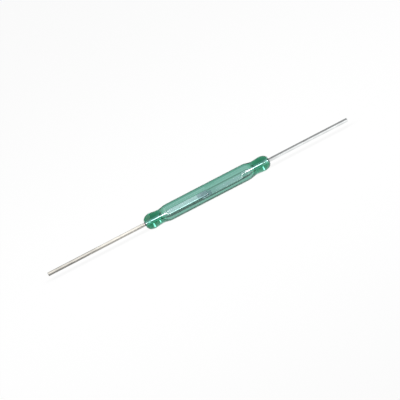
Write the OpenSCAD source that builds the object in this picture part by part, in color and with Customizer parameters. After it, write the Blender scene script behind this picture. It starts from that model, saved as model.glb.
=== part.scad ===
// Glass reed switch: two wires, pressed flat into springy blades at their inner ends,
// are fused into the ends of a glass tube so that the blades overlap with a small gap.
// X runs along the leads, Z is normal to the faces of the blades,
// and the origin is the centre of the glass tube.

/* [Glass tube] */
// Length of the glass from end to end
glass_len = 20; // [18:0.5:30]
// Outside diameter of the straight tube
glass_d = 2.5; // [2.4:0.05:4]
// Thickness of the wall of the tube
glass_wall = 0.45; // [0.25:0.05:0.5]

/* [Seals] */
// Length of solid glass on the left wire
left_seal_len = 2.5; // [1.6:0.1:3.2]
// Length of solid glass on the right wire
right_seal_len = 2.4; // [1.6:0.1:3.2]
// Largest diameter of the left bead
left_bead_d = 2.36; // [1.8:0.02:2.5]
// Largest diameter of the right bead
right_bead_d = 2.22; // [1.8:0.02:2.5]
// Smallest diameter of the neck behind the left bead
left_neck_d = 2.08; // [1.7:0.02:2.3]
// Smallest diameter of the neck behind the right bead
right_neck_d = 2.02; // [1.7:0.02:2.3]
// Length of the rounded nose, from the end of the glass to the crown of the bead
nose_len = 1.2; // [1:0.05:1.5]
// Radius of the fillet where the glass climbs the wire
seal_fillet = 0.06; // [0.02:0.01:0.15]
// Length of the outer flare, from the neck to the full tube
tube_flare = 1.45; // [1:0.05:2]
// Length of the funnel inside, from the wire to the full bore
bore_funnel = 1.5; // [0.8:0.05:1.8]

/* [Leads] */
// Diameter of the bare wire in the seals
wire_d = 0.56; // [0.4:0.01:0.7]
// Thickness of the tinning on the tails outside the glass
tin_t = 0.01; // [0.005:0.005:0.03]
// Length over which the tinning thins out before it meets the glass
tin_fade = 0.6; // [0.5:0.05:1.5]
// Length of the left tail outside the glass
left_tail_len = 15.5; // [5:0.5:25]
// Length of the right tail outside the glass
right_tail_len = 12.5; // [5:0.5:25]
// Chamfer on the cut end of a tail
tail_chamfer = 0.06; // [0.02:0.01:0.12]

/* [Reed blades] */
// Width of a blade
blade_w = 1.0; // [0.8:0.05:1.2]
// Thickness of a blade
blade_t = 0.2; // [0.15:0.01:0.26]
// Rounding of the long edges of a blade
edge_r = 0.09; // [0.02:0.01:0.1]
// Rounding of the corners at the tip of a blade
tip_r = 0.2; // [0.05:0.05:0.4]
// Round wire between the left seal and the pressed shoulder
left_stub = 0.85; // [0.4:0.05:2.5]
// Round wire between the right seal and the pressed shoulder
right_stub = 1.9; // [0.4:0.05:2.5]
// Length of the shoulder over which the round wire becomes a blade
press_len = 0.45; // [0.3:0.05:0.9]
// Length over which the two blades overlap
overlap = 1.05; // [0.6:0.05:2]
// Middle of the overlap, from the middle of the glass
overlap_shift = -0.475; // [-1.5:0.025:1.5]

/* [Contacts] */
// Gap between the plated faces of the open contacts
contact_gap = 0.08; // [0.02:0.01:0.12]
// Thickness of the contact plating
plate_t = 0.02; // [0.01:0.005:0.03]
// Length of plated blade, back from the tip
plate_len = 1.6; // [1.1:0.1:3]
// Depth of the middle of the gap below the axis of the tube
contact_drop = 0.15; // [0:0.01:0.2]

/* [Hidden] */

// Segments in a full circle, in each curve of an outline and in each rounded corner
$fn = 96;
curve_steps = 10;
corner_steps = 6;

// Share of the wire that the first section of a shoulder takes, so that it lies within the wire
shoulder_seat = 0.99;
// Depth to which a shoulder starts inside the wire, and length that it stays round outside it
shoulder_sink = press_len / 15;
// Share of its own half width that a nearly round section has as its corner radius
nearly_round = 0.98;

glass_end = glass_len / 2;
tube_r = glass_d / 2;
bore_r = tube_r - glass_wall;
wire_r = wire_d / 2;
tail_r = wire_r + tin_t;

// Middle of each blade's thickness: both stand off the middle of the gap by the same amount
blade_offset = contact_gap / 2 + plate_t + blade_t / 2;
left_blade_z = -contact_drop + blade_offset;
right_blade_z = -contact_drop - blade_offset;

// Rounding of a blade's long edges, kept within half its thickness
section_r = min(edge_r, nearly_round * blade_t / 2);

glass_colour = [0.27, 0.56, 0.42, 0.45];
tail_colour = [0.78, 0.76, 0.72];
blade_colour = [0.80, 0.82, 0.84];
contact_colour = [0.55, 0.56, 0.62];

// Smooth rise from 0 to 1 that starts and ends level
function ease(u) = (1 - cos(180 * u)) / 2;

function between(a, b, u) = a + (b - a) * u;

// Points of a level-ended curve between two places on an outline, without the first
function swell(from, to) = [
    for (i = [1 : curve_steps])
        let (u = i / curve_steps)
        [between(from[0], to[0], u), between(from[1], to[1], ease(u))]
];

// Points of a curve that leaves the first place steeply and comes level at the second, without the first
function funnel(from, to) = [
    for (i = [1 : curve_steps])
        let (u = i / curve_steps)
        [between(from[0], to[0], u), between(from[1], to[1], sin(90 * u))]
];

// Points of the nose: a fillet up from the wire, then a quarter ellipse that is level at the crown
function nose(bead_r) =
    let (face_r = wire_r + seal_fillet)
    concat(
        [
            for (i = [0 : corner_steps - 1])
                let (a = 90 * i / corner_steps)
                [seal_fillet * sin(a), face_r - seal_fillet * cos(a)]
        ],
        [
            for (i = [0 : curve_steps])
                let (a = 90 * i / curve_steps)
                [between(nose_len, seal_fillet, cos(a)), between(face_r, bead_r, sin(a))]
        ]
    );

// Outside of one end as [distance from the end of the glass, radius]
function outer_end(seal_len, bead_d, neck_d) = concat(
    nose(bead_d / 2),
    swell([nose_len, bead_d / 2], [seal_len, neck_d / 2]),
    swell([seal_len, neck_d / 2], [seal_len + tube_flare, tube_r])
);

// Inside of one end, from the end of the glass to the full bore
function inner_end(seal_len) = concat(
    [[0, wire_r], [seal_len, wire_r]],
    funnel([seal_len, wire_r], [seal_len + bore_funnel, bore_r])
);

function reversed(points) = [for (i = [len(points) - 1 : -1 : 0]) points[i]];

// An end's points as [radius, place along the tube], for the left and the right end
function on_left(points) = [for (p = points) [p[1], p[0] - glass_end]];
function on_right(points) = [for (p = points) [p[1], glass_end - p[0]]];

// Half section of the glass, without the points that its outside and inside share
function glass_section() = concat(
    on_left(outer_end(left_seal_len, left_bead_d, left_neck_d)),
    reversed(on_right(outer_end(right_seal_len, right_bead_d, right_neck_d))),
    [for (i = [1 : curve_steps + 1]) on_right(inner_end(right_seal_len))[i]],
    [for (i = [curve_steps + 1 : -1 : 1]) on_left(inner_end(left_seal_len))[i]]
);

// Rounded rectangle, with the same number of points at any size
function rounded(half_w, half_t, r) = [
    for (corner = [[1, 1, 0], [-1, 1, 90], [-1, -1, 180], [1, -1, 270]])
        for (i = [0 : corner_steps])
            let (a = corner[2] + 90 * i / corner_steps)
            [corner[0] * (half_w - r) + r * cos(a), corner[1] * (half_t - r) + r * sin(a)]
];

// Where the round wire of a reed ends, and where its blade begins, on the left end
function press_x(seal_len, stub) = -glass_end + seal_len + stub;
function root_x(seal_len, stub) = press_x(seal_len, stub) + press_len;

// Section of the shoulder at x, where e goes from 0, the wire, to 1, the blade
function shoulder_ring(x, e, blade_z) =
    let (
        round_half = shoulder_seat * wire_r,
        outline = rounded(
            between(round_half, blade_w / 2, e),
            between(round_half, blade_t / 2, e),
            between(nearly_round * round_half, section_r, e)
        )
    )
    [for (p = outline) [x, p[0], p[1] + blade_z * e]];

// Loft through the sections of the shoulder, from inside the wire to the root of the blade
module shoulder(from_x, blade_z) {
    ring_len = 4 * (corner_steps + 1);
    ring_count = curve_steps + 2;
    points = [
        each shoulder_ring(from_x - shoulder_sink, 0, blade_z),
        for (i = [0 : curve_steps])
            let (u = i / curve_steps)
            each shoulder_ring(from_x + between(shoulder_sink, press_len, u), ease(u), blade_z)
    ];
    sides = [
        for (i = [0 : ring_count - 2])
            for (j = [0 : ring_len - 1])
                let (
                    near = i * ring_len + j,
                    near_next = i * ring_len + (j + 1) % ring_len,
                    far = near + ring_len,
                    far_next = near_next + ring_len
                )
                each [[near, near_next, far_next], [near, far_next, far]]
    ];
    near_cap = [for (j = [ring_len - 1 : -1 : 0]) j];
    far_cap = [for (j = [0 : ring_len - 1]) (ring_count - 1) * ring_len + j];
    polyhedron(points, [for (f = concat(sides, [near_cap, far_cap])) reversed(f)]);
}

// Fixed half of a reed, on the left end: tail, sealed wire and pressed shoulder
module lead(tail_len, seal_len, stub, blade_z) {
    wire_end = tail_len + seal_len + stub;
    union() {
        translate([-glass_end - tail_len, 0, 0])
            rotate([0, 90, 0])
                rotate_extrude()
                    polygon([
                        [0, 0],
                        [tail_r - tail_chamfer, 0],
                        [tail_r, tail_chamfer],
                        [tail_r, tail_len - tin_fade],
                        [wire_r, tail_len],
                        [wire_r, wire_end],
                        [0, wire_end]
                    ]);
        shoulder(press_x(seal_len, stub), blade_z);
    }
}

// Flat blade along X with a rounded tip, grown on all sides but its root
module blade_form(from_x, tip_x, blade_z, grow = 0) {
    half_w = blade_w / 2 + grow;
    half_t = blade_t / 2 + grow;
    corner_r = tip_r + grow;
    end_x = tip_x + grow;
    intersection() {
        translate([from_x, 0, blade_z])
            rotate([90, 0, 90])
                linear_extrude(end_x - from_x)
                    polygon(rounded(half_w, half_t, section_r + grow));
        translate([0, 0, blade_z - half_t])
            linear_extrude(2 * half_t)
                polygon(concat(
                    [[from_x, half_w], [from_x, -half_w]],
                    [
                        for (side = [-1, 1])
                            for (i = [0 : corner_steps])
                                let (a = 45 * (side - 1) + 90 * i / corner_steps)
                                [
                                    end_x - corner_r + corner_r * cos(a),
                                    side * (half_w - corner_r) + corner_r * sin(a)
                                ]
                    ]
                ));
    }
}

// Plated skin round the tip of a blade
module contact(tip_x, blade_z) {
    from_x = tip_x - plate_len;
    difference() {
        blade_form(from_x, tip_x, blade_z, plate_t);
        blade_form(from_x, tip_x, blade_z);
    }
}

left_root_x = root_x(left_seal_len, left_stub);
left_tip_x = overlap_shift + overlap / 2;
// The right reed is drawn as a left one and mirrored
right_root_x = root_x(right_seal_len, right_stub);
right_tip_x = overlap / 2 - overlap_shift;

module glass_envelope() {
    color(glass_colour)
        rotate([0, 90, 0])
            rotate_extrude()
                polygon(glass_section());
}

module left_lead() {
    color(tail_colour)
        lead(left_tail_len, left_seal_len, left_stub, left_blade_z);
}

module right_lead() {
    color(tail_colour)
        mirror([1, 0, 0])
            lead(right_tail_len, right_seal_len, right_stub, right_blade_z);
}

module left_reed_blade() {
    color(blade_colour)
        blade_form(left_root_x, left_tip_x, left_blade_z);
}

module right_reed_blade() {
    color(blade_colour)
        mirror([1, 0, 0])
            blade_form(right_root_x, right_tip_x, right_blade_z);
}

module left_contact() {
    color(contact_colour)
        contact(left_tip_x, left_blade_z);
}

module right_contact() {
    color(contact_colour)
        mirror([1, 0, 0])
            contact(right_tip_x, right_blade_z);
}

glass_envelope();
left_lead();
right_lead();
left_reed_blade();
right_reed_blade();
left_contact();
right_contact();
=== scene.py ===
import math

import bmesh
import bpy
from mathutils import Matrix, Vector


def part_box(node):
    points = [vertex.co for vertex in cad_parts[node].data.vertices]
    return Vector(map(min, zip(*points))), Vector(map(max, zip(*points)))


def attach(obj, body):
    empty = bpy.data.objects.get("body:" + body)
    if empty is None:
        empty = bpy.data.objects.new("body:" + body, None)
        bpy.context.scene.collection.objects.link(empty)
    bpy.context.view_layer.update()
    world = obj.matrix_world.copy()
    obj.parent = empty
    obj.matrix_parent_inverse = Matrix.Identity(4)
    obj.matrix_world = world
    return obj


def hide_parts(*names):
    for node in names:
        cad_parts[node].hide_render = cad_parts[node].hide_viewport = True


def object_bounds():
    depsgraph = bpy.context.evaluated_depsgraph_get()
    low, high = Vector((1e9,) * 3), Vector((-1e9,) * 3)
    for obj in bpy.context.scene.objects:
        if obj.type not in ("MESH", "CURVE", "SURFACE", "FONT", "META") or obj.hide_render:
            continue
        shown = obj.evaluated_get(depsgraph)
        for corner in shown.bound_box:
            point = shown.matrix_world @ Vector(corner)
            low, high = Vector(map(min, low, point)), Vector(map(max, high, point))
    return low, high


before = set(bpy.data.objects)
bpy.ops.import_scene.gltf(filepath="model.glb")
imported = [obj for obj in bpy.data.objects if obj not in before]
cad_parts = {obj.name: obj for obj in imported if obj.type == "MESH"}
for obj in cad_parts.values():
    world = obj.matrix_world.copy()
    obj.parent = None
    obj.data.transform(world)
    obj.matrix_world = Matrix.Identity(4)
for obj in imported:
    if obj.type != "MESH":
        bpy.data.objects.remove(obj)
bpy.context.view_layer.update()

MM = 0.001

# Where the photograph was taken from, and how it shows the switch
IMAGE_SIZE = 400
PIXELS_PER_MM = 7.015
ORIGIN_PIXEL = (207.03, 192.25)
VIEW_ELEVATION = math.radians(40)
AXIS_TILT = math.radians(27.4)
CAMERA_DISTANCE = 0.6
CAMERA_CLIP = 0.01
SENSOR_WIDTH = 36.0

# Sizes that the boxes of the solids don't give
WIRE_R = 0.28 * MM
TAIL_CHAMFER = 0.06 * MM
TIN_FADE = 0.6 * MM
PRESS_LEN = 0.45 * MM
EDGE_R = 0.09 * MM
TIP_R = 0.2 * MM
PLATE_T = 0.02 * MM
EDGE_BREAK = 0.015 * MM

# The chamfer is rounded by one ring, at these shares of its length and of its depth
CHAMFER_RING_LENGTH = 0.3
CHAMFER_RING_DEPTH = 0.4

# A ring this many chamfers or tip radii from an end keeps the shading of the straight stretch level
LEVEL_CHAMFERS = 2
LEVEL_TIP_RADII = 1.5

# The glass is cut a little inside the wire that it is fused to, so that no air shows between them
SEAL_BITE = 0.98
SEAL_TOLERANCE = 1.01

# How finely the pieces are cut
GLASS_SEGMENTS = 96
GLASS_STEP = 0.25 * MM
CURVE_SUBSTEPS = 3
PLACE_DIGITS = 8
SIDE_POINTS = 2
CORNER_POINTS = 6
FACE_POINTS = 6
SHOULDER_STEPS = 16
TIP_STEPS = 8
SHARP_ANGLE = math.radians(35)

# The glass, with its streaks and smears in cycles per metre
GLASS_COLOUR = (0.03, 0.545, 0.418, 1)
GLASS_DENSITY = 1650.0
GLASS_IOR = 1.5
STRIAE_SCALE = (90, 1400, 1400)
STRIAE_RELIEF = 0.002 * MM
SMEAR_SCALE = (900, 900, 900)
SMEAR_ROUGHNESS = (0.0, 0.012)

# Most values of a noise lie between these
NOISE_LOW = 0.35
NOISE_HIGH = 0.65

# No path of light is ended at random before this many bounces, because dark glass shows that as grain
SURE_BOUNCES = 12

# The stage
WHITE = (1, 1, 1, 1)
PAPER_GREY = (0.9, 0.9, 0.9, 1)
ROOM_GREY = (0.15, 0.15, 0.15, 1)
HALF_A_BOUNCE = 0.5
FLOOR_REACH = 500 * MM
CARD_LIFT = 0.05 * MM
WALL_REACH = 40 * MM
WALL_TOP = 60 * MM
LAMP_LENGTH = 120 * MM
LAMP_WIDTH = 16 * MM
LAMP_DISTANCE = 60 * MM

# Colours of the cards
NEUTRAL = (1, 1, 1)
WARM = (1, 0.93, 0.84)
ROSE = (1, 0.7, 0.8)
PALE_ROSE = (1, 0.8, 0.88)
DEEP_ROSE = (1, 0.42, 0.52)
# Pale green, the colour of the painted light that the beads let through onto the floor
PALE_GREEN = (0.6, 1, 0.8)

# What shows a card: metal in the open, or the glass and the metal behind it
BY_METAL = "glossy"
BY_GLASS = "transmission"

# Distances of the cards from the axis, in millimetres
LEAD_CARD = 25
GLASS_CARD = 30
BACK_CARD = 50
FAR_CARD = 120


def between(a, b, share):
    return a + (b - a) * share


def ease(share):
    """Smooth rise from 0 to 1 that starts and ends level."""
    return (1 - math.cos(math.pi * share)) / 2


def add_node(tree, kind, inputs=None, **settings):
    made = tree.nodes.new(kind)
    for key, value in settings.items():
        setattr(made, key, value)
    for key, value in (inputs or {}).items():
        made.inputs[key].default_value = value
    return made


def new_material(name):
    material = bpy.data.materials.new(name)
    material.use_nodes = True
    material.node_tree.nodes.clear()
    return material


def streaks(tree, scale, detail=3.0):
    """Noise on the object's own coordinates, stretched by a scale for each axis in cycles per metre."""
    place = add_node(tree, "ShaderNodeTexCoord")
    stretch = add_node(tree, "ShaderNodeMapping", {"Scale": scale})
    noise = add_node(tree, "ShaderNodeTexNoise", {"Scale": 1.0, "Detail": detail})
    tree.links.new(place.outputs["Object"], stretch.inputs["Vector"])
    tree.links.new(stretch.outputs["Vector"], noise.inputs["Vector"])
    return noise.outputs["Fac"]


def spread(tree, noise, low, high):
    """A noise value moved from its usual range to another one."""
    ranged = add_node(
        tree,
        "ShaderNodeMapRange",
        {"From Min": NOISE_LOW, "From Max": NOISE_HIGH, "To Min": low, "To Max": high},
    )
    tree.links.new(noise, ranged.inputs["Value"])
    return ranged.outputs["Result"]


def mixed_colour(tree, share, first, second):
    mix = add_node(tree, "ShaderNodeMix", data_type="RGBA")
    mix.inputs["A"].default_value = (*first, 1)
    mix.inputs["B"].default_value = (*second, 1)
    tree.links.new(share, mix.inputs["Factor"])
    return mix.outputs["Result"]


def metal(name, dark, light, roughness, line_scale, blotch_scale, relief):
    """Metal with drawing or rolling lines along X, blotches in its colour and an uneven polish."""
    material = new_material(name)
    tree = material.node_tree
    output = add_node(tree, "ShaderNodeOutputMaterial")
    shader = add_node(tree, "ShaderNodeBsdfPrincipled", {"Metallic": 1.0})
    lines = streaks(tree, line_scale)
    blotches = streaks(tree, blotch_scale)
    colour = mixed_colour(tree, spread(tree, blotches, 0.0, 1.0), dark, light)
    bump = add_node(tree, "ShaderNodeBump", {"Strength": 1.0, "Distance": relief})
    tree.links.new(lines, bump.inputs["Height"])
    tree.links.new(colour, shader.inputs["Base Color"])
    tree.links.new(spread(tree, blotches, *roughness), shader.inputs["Roughness"])
    tree.links.new(bump.outputs["Normal"], shader.inputs["Normal"])
    tree.links.new(shader.outputs["BSDF"], output.inputs["Surface"])
    return material


def green_glass(name):
    """Clear green glass: the colour is taken up in its depth, and the drawn tube has faint striae."""
    material = new_material(name)
    tree = material.node_tree
    output = add_node(tree, "ShaderNodeOutputMaterial")
    shader = add_node(
        tree,
        "ShaderNodeBsdfPrincipled",
        {"Base Color": WHITE, "IOR": GLASS_IOR, "Transmission Weight": 1.0},
    )
    depth = add_node(
        tree,
        "ShaderNodeVolumeAbsorption",
        {"Color": GLASS_COLOUR, "Density": GLASS_DENSITY},
    )
    striae = streaks(tree, STRIAE_SCALE, detail=1.0)
    bump = add_node(tree, "ShaderNodeBump", {"Strength": 1.0, "Distance": STRIAE_RELIEF})
    smears = streaks(tree, SMEAR_SCALE)
    tree.links.new(striae, bump.inputs["Height"])
    tree.links.new(spread(tree, smears, *SMEAR_ROUGHNESS), shader.inputs["Roughness"])
    tree.links.new(bump.outputs["Normal"], shader.inputs["Normal"])
    tree.links.new(shader.outputs["BSDF"], output.inputs["Surface"])
    tree.links.new(depth.outputs["Volume"], output.inputs["Volume"])
    return material


def new_piece(name, mesh_maker, materials, body, node):
    """A piece of the object made by a bmesh function, which stands for a solid of the frame."""
    shape = bmesh.new()
    mesh_maker(shape)
    bmesh.ops.recalc_face_normals(shape, faces=shape.faces)
    for face in shape.faces:
        face.smooth = True
    for edge in shape.edges:
        edge.smooth = edge.calc_face_angle(0) < SHARP_ANGLE
    mesh = bpy.data.meshes.new(name)
    shape.to_mesh(mesh)
    shape.free()
    for material in materials:
        mesh.materials.append(material)
    piece = bpy.data.objects.new(name, mesh)
    bpy.context.scene.collection.objects.link(piece)
    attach(piece, body)
    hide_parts(node)
    return piece


def skin(shape, rings, closed_loop=False):
    """Faces between rings of equally many points; capped at both ends, or joined into a loop."""
    made = [[shape.verts.new(point) for point in ring] for ring in rings]
    count = len(made[0])
    pairs = list(zip(made, made[1:]))
    if closed_loop:
        pairs.append((made[-1], made[0]))
    for near, far in pairs:
        for i in range(count):
            j = (i + 1) % count
            shape.faces.new((near[i], near[j], far[j], far[i]))
    if not closed_loop:
        shape.faces.new(made[0])
        shape.faces.new(reversed(made[-1]))


def turned_outline(node):
    """The outside and the inside of a turned solid, each as points (place along X, radius)."""
    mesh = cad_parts[node].data
    outside, inside = {}, {}
    for face in mesh.polygons:
        for index in face.vertices:
            point = mesh.vertices[index].co
            radius = math.hypot(point.y, point.z)
            outward = (face.normal.y * point.y + face.normal.z * point.z) / radius
            side = outside if outward > 0 else inside
            side[round(point.x, PLACE_DIGITS)] = radius
    return sorted(outside.items()), sorted(inside.items())


def smooth_outline(points):
    """More points on a smooth curve through an outline that never swings past it."""
    spans = [b[0] - a[0] for a, b in zip(points, points[1:])]
    rises = [(b[1] - a[1]) / span for a, b, span in zip(points, points[1:], spans)]
    slopes = [rises[0]]
    for before, after in zip(rises, rises[1:]):
        same_way = before * after > 0
        slopes.append(2 * before * after / (before + after) if same_way else 0.0)
    slopes.append(rises[-1])
    made = []
    for i, span in enumerate(spans):
        steps = max(CURVE_SUBSTEPS, math.ceil(span / GLASS_STEP))
        for k in range(steps):
            u = k / steps
            radius = (
                (1 + 2 * u) * (1 - u) ** 2 * points[i][1]
                + u * (1 - u) ** 2 * span * slopes[i]
                + u * u * (3 - 2 * u) * points[i + 1][1]
                + u * u * (u - 1) * span * slopes[i + 1]
            )
            made.append((points[i][0] + span * u, radius))
    made.append(points[-1])
    return made


def circle(x, radius, count):
    angles = [2 * math.pi * i / count for i in range(count)]
    return [Vector((x, radius * math.cos(a), radius * math.sin(a))) for a in angles]


def glass_shape(shape):
    outside, inside = turned_outline("glass_envelope")
    inside = [(x, SEAL_BITE * r if r < SEAL_TOLERANCE * WIRE_R else r) for x, r in inside]
    loop = smooth_outline(outside) + smooth_outline(inside)[::-1]
    skin(shape, [circle(x, radius, GLASS_SEGMENTS) for x, radius in loop], closed_loop=True)


def quadrant_of_bar(half_w, half_t, corner_r):
    """A quarter of a rounded bar's section, from the middle of its side to the middle of its face."""
    points = [
        (half_w, (half_t - corner_r) * i / SIDE_POINTS) for i in range(SIDE_POINTS)
    ]
    for i in range(CORNER_POINTS):
        a = math.pi / 2 * i / (CORNER_POINTS - 1)
        points.append(
            (half_w - corner_r + corner_r * math.cos(a), half_t - corner_r + corner_r * math.sin(a))
        )
    points += [
        ((half_w - corner_r) * (1 - i / FACE_POINTS), half_t) for i in range(1, FACE_POINTS + 1)
    ]
    return points


def section(half_w, half_t, corner_r):
    """The whole section from one quarter; each quarter gives up its last point to the next."""
    quarter = quadrant_of_bar(half_w, half_t, corner_r)
    first = quarter[:-1]
    second = [(-w, t) for w, t in quarter[::-1]][:-1]
    return first + second + [(-w, -t) for w, t in first + second]


# Every section has equally many points, so one of any size is counted
SECTION_POINTS = len(section(2, 1, 0.5))


def wire_ring(x, radius):
    return circle(x, radius, SECTION_POINTS)


def bar_ring(x, z, half_w, half_t, corner_r):
    return [Vector((x, w, z + t)) for w, t in section(half_w, half_t, corner_r)]


def blade_sizes(node):
    """Half width, half thickness and middle height of a blade, from its solid."""
    low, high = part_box(node)
    return (high.y - low.y) / 2, (high.z - low.z) / 2, (high.z + low.z) / 2


def lead_shape(side, lead_node, blade_node, glass_end):
    """Maker of one lead, from its cut end to the root of its blade; side is -1 left, 1 right."""

    def make(shape):
        low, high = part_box(lead_node)
        tail_end = abs(low.x if side < 0 else high.x)
        root = abs(high.x if side < 0 else low.x)
        tail_r = high.z
        half_w, half_t, blade_z = blade_sizes(blade_node)
        press = root + PRESS_LEN
        outline = [
            (tail_end, tail_r - TAIL_CHAMFER),
            (tail_end - CHAMFER_RING_LENGTH * TAIL_CHAMFER, tail_r - CHAMFER_RING_DEPTH * TAIL_CHAMFER),
            (tail_end - TAIL_CHAMFER, tail_r),
            (tail_end - LEVEL_CHAMFERS * TAIL_CHAMFER, tail_r),
            (glass_end + TIN_FADE, tail_r),
            (glass_end, WIRE_R),
            (press, WIRE_R),
        ]
        rings = [wire_ring(side * x, radius) for x, radius in outline]
        for i in range(1, SHOULDER_STEPS + 1):
            share = ease(i / SHOULDER_STEPS)
            x = side * between(press, root, i / SHOULDER_STEPS)
            bar = bar_ring(x, blade_z, half_w, half_t, EDGE_R)
            rings.append([a.lerp(b, share) for a, b in zip(wire_ring(x, WIRE_R), bar)])
        skin(shape, rings)
        for face in shape.faces:
            face.material_index = int(abs(face.calc_center_median().x) < glass_end)

    return make


def blade_shape(side, node, corner_r, tip_r):
    """Maker of a blade or of the plating on one: a rounded bar with its corners rounded at the tip."""

    def make(shape):
        low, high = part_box(node)
        half_w, half_t, z = blade_sizes(node)
        root, tip = (low.x, high.x) if side < 0 else (high.x, low.x)
        inward = -side
        straight_end = tip - inward * LEVEL_TIP_RADII * tip_r
        rings = [bar_ring(x, z, half_w, half_t, corner_r) for x in (root, straight_end)]
        for i in range(TIP_STEPS + 1):
            a = math.pi / 2 * i / TIP_STEPS
            x = tip - inward * (tip_r * (1 - math.sin(a)) + EDGE_BREAK)
            rings.append(bar_ring(x, z, half_w - tip_r * (1 - math.cos(a)), half_t, corner_r))
        rings.append(
            bar_ring(tip, z, half_w - tip_r - EDGE_BREAK, half_t - EDGE_BREAK, corner_r - EDGE_BREAK)
        )
        skin(shape, rings)

    return make


def worked_out(tree, operation, *values):
    """The output of a Math node, from sockets or plain numbers."""
    made = add_node(tree, "ShaderNodeMath", operation=operation)
    for socket, value in zip(made.inputs, values):
        if isinstance(value, float):
            socket.default_value = value
        else:
            tree.links.new(value, socket)
    return made.outputs["Value"]


def ray_share(tree, camera, glossy, transmission):
    """A share that depends on how a ray reached the surface; 0 for light on its way to other things.

    A ray that went through glass counts as glossy too, so mirror rays are those that are glossy alone.
    """
    path = add_node(tree, "ShaderNodeLightPath")
    through = path.outputs["Is Transmission Ray"]
    mirrored = worked_out(tree, "GREATER_THAN", path.outputs["Is Glossy Ray"], through)
    total = worked_out(tree, "MULTIPLY", path.outputs["Is Camera Ray"], camera)
    total = worked_out(tree, "ADD", total, worked_out(tree, "MULTIPLY", mirrored, glossy))
    total = worked_out(tree, "ADD", total, worked_out(tree, "MULTIPLY", through, transmission))
    seen = worked_out(tree, "LESS_THAN", path.outputs["Diffuse Depth"], HALF_A_BOUNCE)
    return worked_out(tree, "MULTIPLY", total, seen)


def floor_material():
    """White paper: partly its own white where it is seen, and the rest takes the object's shadow."""
    material = new_material("white_paper")
    material.cycles.emission_sampling = "NONE"
    tree = material.node_tree
    output = add_node(tree, "ShaderNodeOutputMaterial")
    paper = add_node(tree, "ShaderNodeBsdfDiffuse", {"Color": PAPER_GREY})
    white = add_node(tree, "ShaderNodeEmission", {"Color": WHITE, "Strength": 1.0})
    mix = add_node(tree, "ShaderNodeMixShader")
    share = ray_share(tree, camera=0.93, glossy=1.0, transmission=0.1)
    tree.links.new(share, mix.inputs["Fac"])
    tree.links.new(paper.outputs["BSDF"], mix.inputs[1])
    tree.links.new(white.outputs["Emission"], mix.inputs[2])
    tree.links.new(mix.outputs["Shader"], output.inputs["Surface"])
    return material


def rectangle(across, along):
    """The four corners in order, from a range in one direction and a range in the other."""
    return [
        (across[0], along[0]),
        (across[1], along[0]),
        (across[1], along[1]),
        (across[0], along[1]),
    ]


def stage_plane(name, corners, material):
    mesh = bpy.data.meshes.new(name)
    mesh.from_pydata(corners, [], [(0, 1, 2, 3)])
    mesh.materials.append(material)
    plane = bpy.data.objects.new(name, mesh)
    bpy.context.scene.collection.objects.link(plane)
    return plane


def make_floor():
    reach = (-FLOOR_REACH, FLOOR_REACH)
    stage_plane("floor", [(x, y, floor_z) for x, y in rectangle(reach, reach)], floor_material())


def make_world():
    """A grey room for the metal, and white where the camera or the glass looks past the floor."""
    world = bpy.data.worlds.new("room")
    bpy.context.scene.world = world
    world.use_nodes = True
    tree = world.node_tree
    tree.nodes.clear()
    output = add_node(tree, "ShaderNodeOutputWorld")
    room = add_node(tree, "ShaderNodeBackground", {"Color": ROOM_GREY, "Strength": 1.0})
    white = add_node(tree, "ShaderNodeBackground", {"Color": WHITE, "Strength": 1.0})
    mix = add_node(tree, "ShaderNodeMixShader")
    share = ray_share(tree, camera=1.0, glossy=0.1, transmission=1.0)
    tree.links.new(share, mix.inputs["Fac"])
    tree.links.new(room.outputs["Background"], mix.inputs[1])
    tree.links.new(white.outputs["Background"], mix.inputs[2])
    tree.links.new(mix.outputs["Shader"], output.inputs["Surface"])


def arc_point(elevation, distance):
    """A point over the object, in the plane across it: 0 degrees is in front, 90 overhead, 180 behind."""
    angle = math.radians(elevation)
    return Vector((0, -math.cos(angle), math.sin(angle))) * distance


def top_light(elevation, radiance):
    """A strip light nearly overhead, which lights the floor and lays the blades' shadow under the tube."""
    lamp = bpy.data.lights.new("top_light", "AREA")
    lamp.shape = "RECTANGLE"
    lamp.size = LAMP_LENGTH
    lamp.size_y = LAMP_WIDTH
    lamp.energy = radiance * math.pi * lamp.size * lamp.size_y
    light = bpy.data.objects.new("top_light", lamp)
    light.location = arc_point(elevation, LAMP_DISTANCE)
    light.rotation_euler.x = math.radians(90 - elevation)
    light.visible_camera = False
    light.visible_glossy = False
    light.visible_transmission = False
    bpy.context.scene.collection.objects.link(light)


def glow(name, colour, strength):
    """A card's own light, where the camera sees it by way of metal or glass; it lights nothing else."""
    material = new_material(name)
    material.cycles.emission_sampling = "NONE"
    tree = material.node_tree
    output = add_node(tree, "ShaderNodeOutputMaterial")
    shine = add_node(tree, "ShaderNodeEmission", {"Color": (*colour, 1)})
    share = ray_share(tree, camera=0.0, glossy=1.0, transmission=1.0)
    tree.links.new(worked_out(tree, "MULTIPLY", share, strength), shine.inputs["Strength"])
    tree.links.new(shine.outputs["Emission"], output.inputs["Surface"])
    return material


def card(name, corners, colour, strength, shown):
    """A card that only metal in the open, or only glass and the metal behind it, shows."""
    plane = stage_plane(name, corners, glow(name, colour, strength))
    for ray in ("camera", "diffuse", "shadow", "glossy", "transmission"):
        setattr(plane, f"visible_{ray}", ray == shown)


def softbox(name, x_range, elevations, distance, colour, strength, shown):
    """A card across the object that spans a range in x and in elevation."""
    corners = [
        arc_point(elevation, distance * MM) + Vector((x * MM, 0, 0))
        for x, elevation in rectangle(x_range, elevations)
    ]
    card(name, corners, colour, strength, shown)


def floor_card(name, x_range, y_range, colour, strength, shown):
    """A card that lies on the floor."""
    corners = [(x * MM, y * MM, floor_z + CARD_LIFT) for x, y in rectangle(x_range, y_range)]
    card(name, corners, colour, strength, shown)


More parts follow.
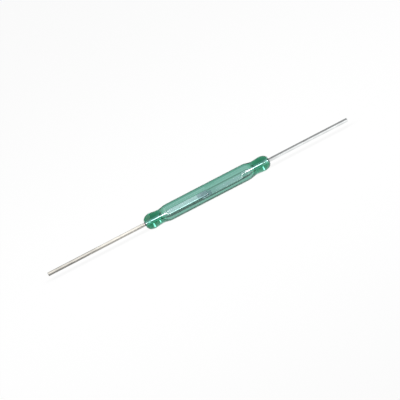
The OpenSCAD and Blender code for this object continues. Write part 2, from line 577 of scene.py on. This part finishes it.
def upright_card(name, x_range, y, heights, colour, strength, shown):
    """A card that stands on edge behind the object, at heights over the floor."""
    corners = [(x * MM, y * MM, floor_z + height * MM) for x, height in rectangle(x_range, heights)]
    card(name, corners, colour, strength, shown)


def end_wall(name, x, strength):
    """A white wall past one end of the object, which the rounded ends of the glass mirror."""
    places = rectangle((-WALL_REACH, WALL_REACH), (floor_z, WALL_TOP))
    card(name, [(x * MM, y, z) for y, z in places], NEUTRAL, strength, BY_METAL)


def make_camera():
    """A long lens, tilted so that the switch rises to the right as it does in the photograph."""
    lens = bpy.data.cameras.new("photo_camera")
    lens.sensor_width = SENSOR_WIDTH
    frame_width = IMAGE_SIZE / PIXELS_PER_MM * MM
    lens.lens = SENSOR_WIDTH * CAMERA_DISTANCE / frame_width
    lens.clip_start = CAMERA_CLIP
    camera = bpy.data.objects.new("photo_camera", lens)
    back = Vector((0, -math.cos(VIEW_ELEVATION), math.sin(VIEW_ELEVATION)))
    level_right = Vector((1, 0, 0))
    level_up = back.cross(level_right)
    right = level_right * math.cos(AXIS_TILT) - level_up * math.sin(AXIS_TILT)
    up = level_right * math.sin(AXIS_TILT) + level_up * math.cos(AXIS_TILT)
    mm_right = (ORIGIN_PIXEL[0] - IMAGE_SIZE / 2) / PIXELS_PER_MM
    mm_up = (IMAGE_SIZE / 2 - ORIGIN_PIXEL[1]) / PIXELS_PER_MM
    place = back * CAMERA_DISTANCE - right * mm_right * MM - up * mm_up * MM
    camera.matrix_world = Matrix(
        [(right[i], up[i], back[i], place[i]) for i in range(3)] + [(0, 0, 0, 1)]
    )
    bpy.context.scene.collection.objects.link(camera)
    bpy.context.scene.camera = camera


# The materials
glass = green_glass("green_glass")
tin = metal(
    "tinned_wire",
    dark=(0.68, 0.70, 0.70),
    light=(0.84, 0.86, 0.86),
    roughness=(0.14, 0.26),
    line_scale=(500, 22000, 22000),
    blotch_scale=(900, 2500, 2500),
    relief=0.003 * MM,
)
alloy = metal(
    "reed_alloy",
    dark=(0.70, 0.72, 0.75),
    light=(0.84, 0.86, 0.88),
    roughness=(0.10, 0.16),
    line_scale=(300, 4000, 4000),
    blotch_scale=(600, 1800, 1800),
    relief=0.0006 * MM,
)
plating = metal(
    "contact_plating",
    dark=(0.42, 0.44, 0.50),
    light=(0.54, 0.56, 0.62),
    roughness=(0.12, 0.20),
    line_scale=(1500, 3000, 3000),
    blotch_scale=(1500, 2500, 2500),
    relief=0.0006 * MM,
)

# The pieces; the glass lets the lamp's light through to the floor, so it casts no shadow
glass_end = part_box("glass_envelope")[1].x
tube = new_piece("glass_tube", glass_shape, [glass], "envelope", "glass_envelope")
tube.visible_shadow = False
for side, end in [(-1, "left"), (1, "right")]:
    blade_node = f"{end}_reed_blade"
    new_piece(
        f"{end}_wire",
        lead_shape(side, f"{end}_lead", blade_node, glass_end),
        [tin, alloy],
        "envelope",
        f"{end}_lead",
    )
    new_piece(
        f"{end}_reed",
        blade_shape(side, blade_node, EDGE_R, TIP_R),
        [alloy],
        f"{end}_blade",
        blade_node,
    )
    new_piece(
        f"{end}_plating",
        blade_shape(side, f"{end}_contact", EDGE_R + PLATE_T, TIP_R + PLATE_T),
        [plating],
        f"{end}_blade",
        f"{end}_contact",
    )

# The floor, the room and the one lamp
floor_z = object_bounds()[0].z
make_floor()
make_world()
top_light(elevation=84, radiance=10.0)

# What the blades and the sealed wire mirror; rose, because the green glass takes most of the red away
softbox("front_card", (-6.6, -0.95), (0, 85), GLASS_CARD, ROSE, 6.0, BY_GLASS)
softbox("contact_card", (-0.95, 0.05), (0, 85), GLASS_CARD, ROSE, 3.0, BY_GLASS)
softbox("left_seal_card", (-45, -7.6), (40, 65), GLASS_CARD, DEEP_ROSE, 34.0, BY_GLASS)
softbox("left_shoulder_card", (-7.6, -6.6), (40, 65), GLASS_CARD, DEEP_ROSE, 12.0, BY_GLASS)
softbox("right_seal_card", (7.2, 45), (40, 65), GLASS_CARD, DEEP_ROSE, 34.0, BY_GLASS)
softbox("right_shoulder_card", (5.9, 7.2), (40, 65), GLASS_CARD, DEEP_ROSE, 10.0, BY_GLASS)
softbox("right_end_card", (-30, -14), (42, 62), FAR_CARD, DEEP_ROSE, 30.0, BY_GLASS)
softbox("left_back_card", (-30, 0.1), (88, 160), BACK_CARD, ROSE, 2.0, BY_GLASS)
softbox("right_back_card", (1.8, 30), (88, 160), BACK_CARD, PALE_ROSE, 1.6, BY_GLASS)

# What the bare leads and the outside of the glass mirror
softbox("left_card", (-18, -9.5), (24, 150), LEAD_CARD, WARM, 1.3, BY_METAL)
softbox("tip_card", (-35, -18), (28, 140), LEAD_CARD, WARM, 1.05, BY_METAL)
softbox("right_card", (9.5, 32), (55, 150), LEAD_CARD, NEUTRAL, 0.4, BY_METAL)
softbox("right_low_card", (9.5, 32), (0, 55), LEAD_CARD, NEUTRAL, 1.25, BY_METAL)
end_wall("left_wall", -60, 0.5)
end_wall("right_wall", 60, 0.5)
# Painted shade: dim warm cards on the floor, which the leads mirror as the floor that lies in their own
# shade in front of and around their cut ends
floor_card("painted_lead_shade_card", (-19, -9.5), (-40, -0.4), WARM, 0.55, BY_METAL)
floor_card("tip_front_card", (-30, -19), (-40, -0.4), WARM, 0.3, BY_METAL)
floor_card("tip_behind_card", (-30, -18), (0.3, 40), WARM, 0.35, BY_METAL)

# Painted glints in the beads: small bright cards behind them stand in for light that the beads gather onto
# the floor; and the floor that shows through the beads
upright_card("left_glint_card", (-8.84, -8.74), 0.95, (0.25, 0.36), ROSE, 10.0, BY_GLASS)
upright_card("neck_glint_card", (-8.05, -7.92), 1.3, (0.15, 0.4), ROSE, 12.0, BY_GLASS)
# Painted light: pale green cards on the floor before, under and behind the beads stand in for the light
# that the green glass lets through onto the floor; before and behind the beads they are brighter than the
# paper
floor_card("left_front_card", (-9.9, -7.6), (-6, -0.6), PALE_GREEN, 2.0, BY_GLASS)
floor_card("left_behind_card", (-9.9, -7.6), (1.6, 10), PALE_GREEN, 1.1, BY_GLASS)
upright_card("right_glint_card", (8.73, 8.83), 0.95, (0.31, 0.42), ROSE, 10.0, BY_GLASS)
floor_card("right_front_card", (7.6, 9.9), (-6, -0.6), PALE_GREEN, 1.7, BY_GLASS)
floor_card("right_behind_card", (7.6, 9.9), (1.6, 10), PALE_GREEN, 1.1, BY_GLASS)
floor_card("left_under_card", (-9.9, -7.6), (-0.6, 1.6), PALE_GREEN, 1.0, BY_GLASS)
floor_card("right_under_card", (7.6, 9.9), (-0.6, 1.6), PALE_GREEN, 1.0, BY_GLASS)

# The far floor, as it shows through the tube
floor_card("far_back_card", (-300, 300), (10, 400), NEUTRAL, 1.0, BY_GLASS)
floor_card("far_front_card", (-300, 300), (-400, -10), NEUTRAL, 1.0, BY_GLASS)
# Painted shade: dim cards on the floor beside and behind the tube, which it shows as the dark line below
# the right blade and the dark lines above the blades, where the floor would lie in shadow
floor_card("blade_shade_card", (0.3, 5.9), (-2.6, -1.4), NEUTRAL, 0.2, BY_GLASS)
floor_card("left_rim_painted_shade", (-6.6, 0.05), (2.6, 2.95), NEUTRAL, 0.7, BY_GLASS)
floor_card("rim_shade_card", (-6.8, 6.8), (1.95, 2.6), NEUTRAL, 0.55, BY_GLASS)

make_camera()
bpy.context.scene.cycles.min_light_bounces = SURE_BOUNCES
bpy.context.scene.view_settings.view_transform = "Standard"
